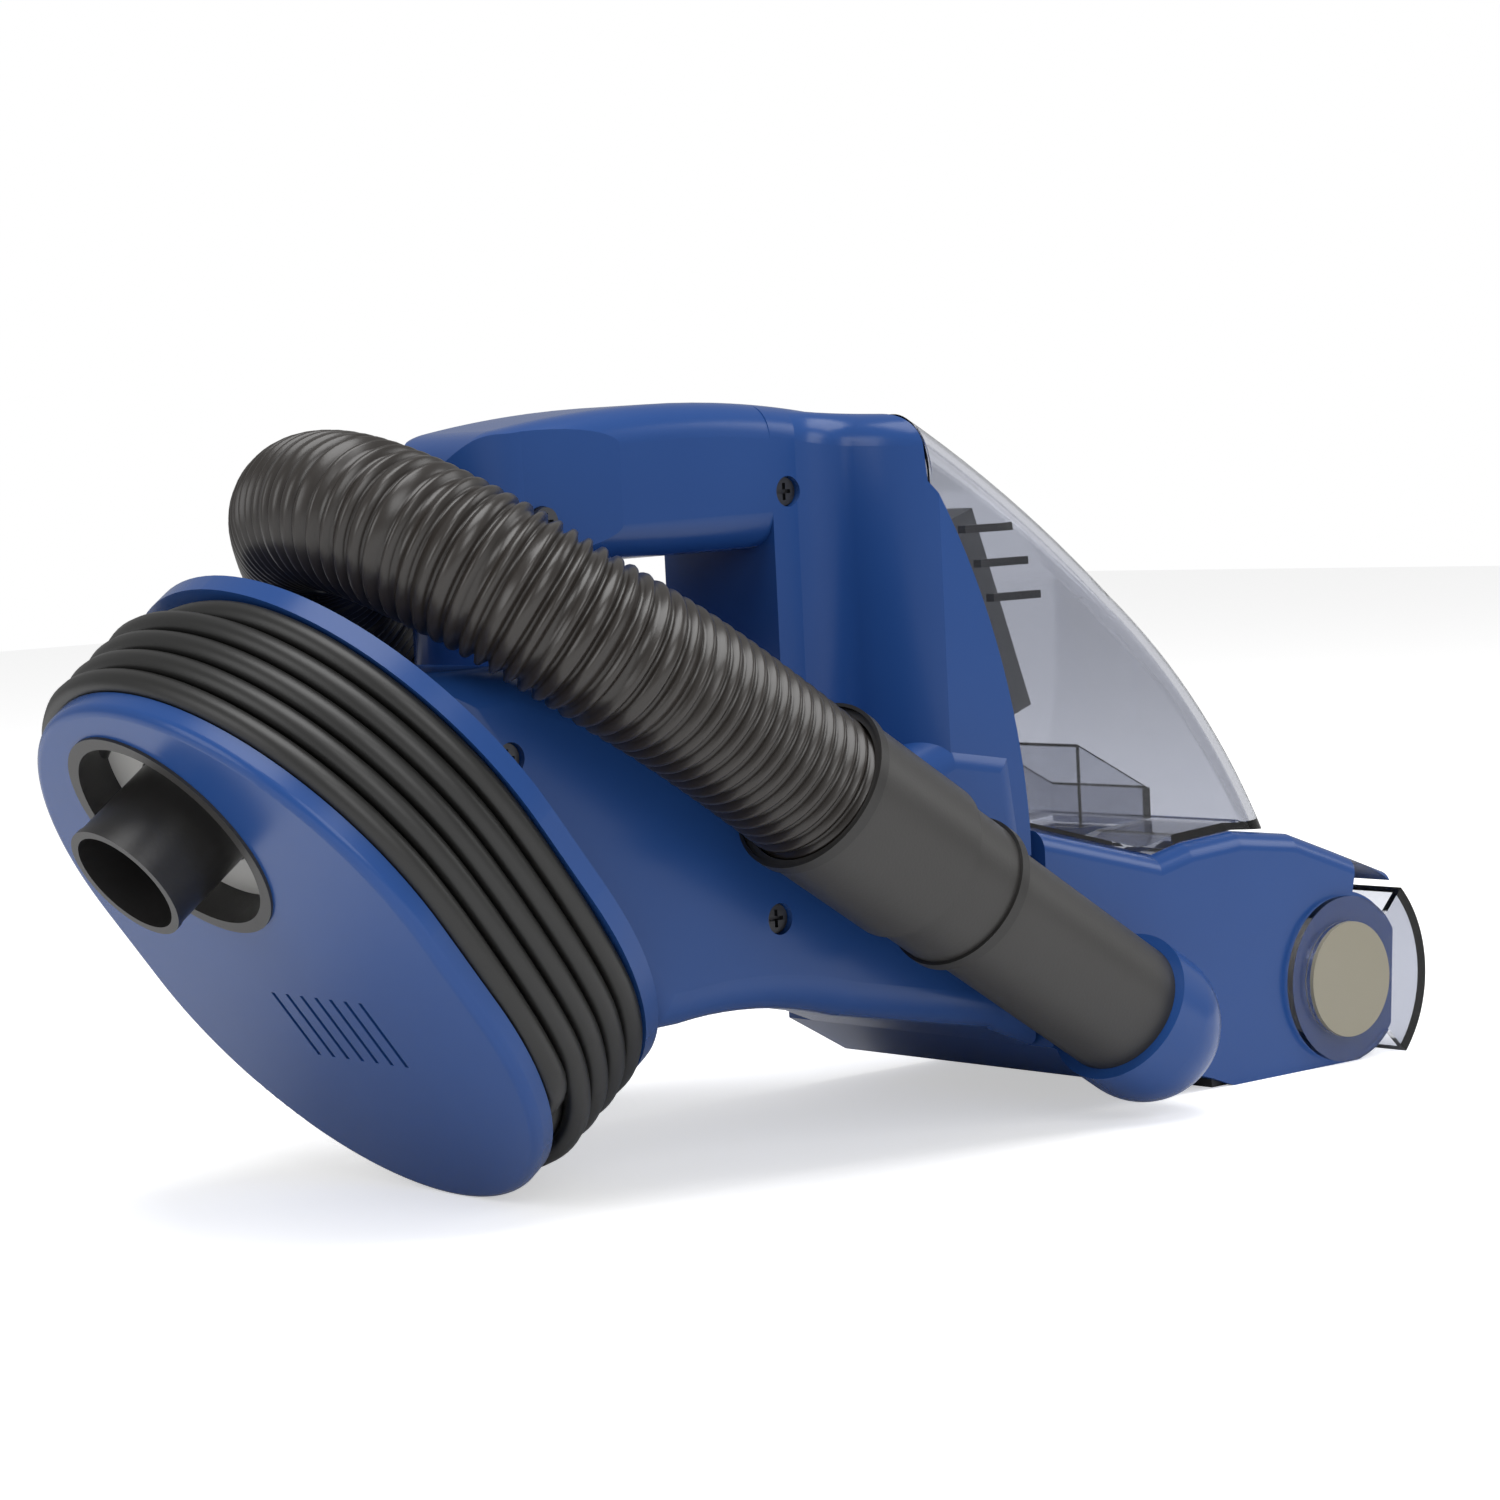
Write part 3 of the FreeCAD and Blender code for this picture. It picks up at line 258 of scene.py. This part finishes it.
def from_bmesh(name, bm):
    """A finished bmesh as a smooth-shaded object."""
    mesh = bpy.data.meshes.new(name)
    bm.to_mesh(mesh)
    bm.free()
    mesh.shade_smooth()
    piece = bpy.data.objects.new(name, mesh)
    scene.collection.objects.link(piece)
    return piece


# ---- routes ----------------------------------------------------------------------------------

HOSE_ROUTE = [(-0.0457, -0.0739, 0.0954), (-0.078, -0.074, 0.118), (-0.108, -0.071, 0.136),
              (-0.131, -0.052, 0.156), (-0.139, -0.022, 0.168), (-0.134, 0.006, 0.169),
              (-0.119, 0.027, 0.162), (-0.100, 0.048, 0.150), (-0.076, 0.066, 0.134),
              (-0.046, 0.074, 0.116), (-0.014, 0.0745, 0.098)]
CORD_LEAD = [(-0.0684, 0.060, 0.0472), (-0.0854, 0.070, 0.0533), (-0.1042, 0.076, 0.0643),
             (-0.1201, 0.075, 0.0811), (-0.1384, 0.0665, 0.1056)]
CORD_TAIL = [(-0.0927, 0.014, 0.0099), (-0.093, 0.032, 0.008), (-0.091, 0.050, 0.0054),
             (-0.080, 0.066, 0.0062), (-0.057, 0.073, 0.0069)]


def smooth_curve(name, points, radius):
    """A NURBS curve with the points as its control points, as thick as radius."""
    curve = bpy.data.curves.new(name, "CURVE")
    curve.dimensions = "3D"
    spline = curve.splines.new("NURBS")
    spline.points.add(len(points) - 1)
    for knot, point in zip(spline.points, points):
        knot.co = (*point, 1)
    spline.order_u = 3
    spline.use_endpoint_u = True
    spline.resolution_u = 6
    curve.bevel_depth = radius
    curve.bevel_resolution = 4
    curve.use_fill_caps = True
    piece = bpy.data.objects.new(name, curve)
    scene.collection.objects.link(piece)
    return piece


def read_route(name, points):
    """The points of the route's smooth line."""
    guide = smooth_curve(name, points, 0)
    mesh = bpy.data.meshes.new_from_object(guide)
    line = [v.co.copy() for v in mesh.vertices]
    bpy.data.objects.remove(guide)
    return line


def walk(line, step):
    """Points and directions every step along a line."""
    spots, gone, wanted = [], 0.0, 0.0
    for a, b in zip(line, line[1:]):
        run = (b - a).length
        while wanted <= gone + run and run > 0:
            spots.append((a.lerp(b, (wanted - gone) / run), (b - a).normalized()))
            wanted += step
        gone += run
    return spots


# ---- stretch hose ----------------------------------------------------------------------------

RIB_PITCH, RIB_STEPS, HOSE_SIDES = 3.9 * MM, 6, 56
PLAIN_END = 3           # steps at each end, inside the cuffs, that have no rib
hose_line = read_route("hose_guide", HOSE_ROUTE)
stations = walk(hose_line, RIB_PITCH / RIB_STEPS)
hose_bm = bmesh.new()
crest, root = 19.1 * MM, 16.9 * MM
profile = [0.0, 0.35, 0.9, 1.0, 0.9, 0.35]      # a round crest and a narrow root
hold = Matrix.Identity(4)
ring_verts = bmesh.ops.create_circle(hose_bm, segments=HOSE_SIDES, radius=1.0)["verts"]
facing = Vector((0, 0, 1)).rotation_difference(stations[0][1])
for i, (spot, ahead) in enumerate(stations):
    if i:
        facing = stations[i - 1][1].rotation_difference(ahead) @ facing
    radius = root + (crest - root) * profile[i % RIB_STEPS]
    if i < PLAIN_END or i >= len(stations) - PLAIN_END:
        radius = root
    pose = Matrix.LocRotScale(spot, facing, Vector((radius, radius, radius)))
    if i:
        rim = [e for e in ring_edges if e.is_valid]
        grown = bmesh.ops.extrude_edge_only(hose_bm, edges=rim)["geom"]
        ring_verts = [g for g in grown if isinstance(g, bmesh.types.BMVert)]
        ring_edges = [g for g in grown if isinstance(g, bmesh.types.BMEdge)
                      and all(v in set(ring_verts) for v in g.verts)]
    else:
        ring_edges = list(hose_bm.edges)
    bmesh.ops.transform(hose_bm, matrix=pose @ hold.inverted(), verts=ring_verts)
    hold = pose
bmesh.ops.recalc_face_normals(hose_bm, faces=hose_bm.faces)
hose = from_bmesh("stretch_hose_ribbed", hose_bm)
settle(hose, "housing", "hose_vinyl")
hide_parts("stretch_hose")

# ---- mains cord ------------------------------------------------------------------------------
# The cord is wound on the spool in three layers, seen along the plate's own inclined axis.

LEAN = math.radians(36.6)
plate_x, plate_z = -0.1764, 0.09534
spool = Matrix(((0, -math.sin(LEAN), math.cos(LEAN), plate_x), (1, 0, 0, 0),
                (0, math.cos(LEAN), math.sin(LEAN), plate_z), (0, 0, 0, 1)))
EGG_TOP, EGG_LOW = -0.0285, -0.0525
CORD = 6.5 * MM
LAYERS = [0.0556, 0.06115, 0.0667]
COLUMNS = [9.45 * MM + i * 6.775 * MM for i in range(5)]
# each pass: (layer and depth on the far side, layer and depth on the near side)
PASSES = [((0, COLUMNS[4]), (0, COLUMNS[4])), ((0, COLUMNS[3]), (0, COLUMNS[3])),
          ((0, COLUMNS[2]), (0, COLUMNS[2])), ((0, COLUMNS[1]), (0, COLUMNS[1])),
          ((0, COLUMNS[0]), (0, COLUMNS[0])), ((1, COLUMNS[0]), (1, 12.84 * MM)),
          ((1, 15.95 * MM), (1, 19.6 * MM)), ((1, 22.45 * MM), (1, 26.4 * MM)),
          ((1, 28.95 * MM), (2, COLUMNS[4])), ((2, COLUMNS[3]), (2, COLUMNS[3])),
          ((2, COLUMNS[2]), (2, COLUMNS[2])), ((2, COLUMNS[1]), (2, COLUMNS[1])),
          ((2, COLUMNS[0]), (2, COLUMNS[0]))]
TURN_POINTS = 20
PULL_IN = 0.9835        # a smooth line runs this much inside its control points


def ease(value):
    value = min(max(value, 0.0), 1.0)
    return value * value * (3 - 2 * value)


def on_spool(angle, radius, depth):
    """A control point on a turn, at an angle from the far side, counted upwards."""
    centre = EGG_TOP if math.sin(angle) > 0 else EGG_LOW
    reach = radius / PULL_IN
    return spool @ Vector((reach * math.cos(angle), centre + reach * math.sin(angle), depth))


# angles in degrees from the far side, where a turn climbs to its near depth and leaves it
CLIMB_FROM, CLIMB_OVER, LEAVE_FROM, LEAVE_OVER = 35, 80, 220, 100
FAR_BULGE = 0.95 * MM   # the outer layers ride this much higher on the far side
LEAD_LIFT = 14 * MM     # the lead comes over the flange this far outside the first layer
LEAD_POINTS, TAIL_FROM = 3, 14      # where the first turn starts and the last one ends

wound = []
for number, (far, near) in enumerate(PASSES):
    after = PASSES[number + 1][0] if number + 1 < len(PASSES) else near
    first = LEAD_POINTS if number == 0 else 0
    last = TAIL_FROM if number + 1 == len(PASSES) else TURN_POINTS
    for i in range(first, last):
        degrees = (i + 0.5) * 360 / TURN_POINTS - 30
        climb = ease((degrees - CLIMB_FROM) / CLIMB_OVER)
        leave = ease((degrees - LEAVE_FROM) / LEAVE_OVER)
        bulge = FAR_BULGE * far[0] * (1 - climb)
        radius = LAYERS[far[0]] + bulge + (LAYERS[near[0]] - LAYERS[far[0]]) * climb
        depth = far[1] + (near[1] - far[1]) * climb
        radius += (LAYERS[after[0]] - LAYERS[near[0]]) * leave
        depth += (after[1] - near[1]) * leave
        if number == 0:
            radius += LEAD_LIFT * (1 - ease((degrees + 5) / 75))
        wound.append(on_spool(math.radians(degrees), radius, depth))
cord_points = [Vector(p) for p in CORD_LEAD[:-1]] + wound + [Vector(p) for p in CORD_TAIL]
cord = smooth_curve("mains_cord", cord_points, CORD / 2)
settle(cord, "housing", "cord_vinyl")
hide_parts("cord_coil", "cord_lead", "cord_tail")

relief_bm = bmesh.new()
relief_line = (Vector(CORD_LEAD[0]) - Vector(CORD_LEAD[1])).normalized()
bmesh.ops.create_circle(relief_bm, segments=36, radius=1.0)
relief_pose = Matrix.Identity(4)
RELIEF = [(-1.0, 3.35)] + [(x, r - (0.5 if i % 2 else 0)) for i, (x, r) in enumerate(
    (0.4 + k * 1.5, 4.2 + k * 0.17) for k in range(13))]
rim = list(relief_bm.edges)
ring_verts = list(relief_bm.verts)
heading = Vector((0, 0, 1)).rotation_difference(relief_line)
for i, (reach, radius) in enumerate(RELIEF):
    pose = Matrix.LocRotScale(Vector(CORD_LEAD[0]) + relief_line * reach * MM, heading,
                              Vector((radius * MM,) * 3))
    if i:
        grown = bmesh.ops.extrude_edge_only(relief_bm, edges=rim)["geom"]
        ring_verts = [g for g in grown if isinstance(g, bmesh.types.BMVert)]
        rim = [g for g in grown if isinstance(g, bmesh.types.BMEdge)
               and all(v in ring_verts for v in g.verts)]
    bmesh.ops.transform(relief_bm, matrix=pose @ relief_pose.inverted(), verts=ring_verts)
    relief_pose = pose
bmesh.ops.recalc_face_normals(relief_bm, faces=relief_bm.faces)
relief = settle(from_bmesh("cord_relief_ribbed", relief_bm), "housing", "cord_vinyl")
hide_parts("strain_relief")
cord_line = read_route("cord_guide", cord_points)
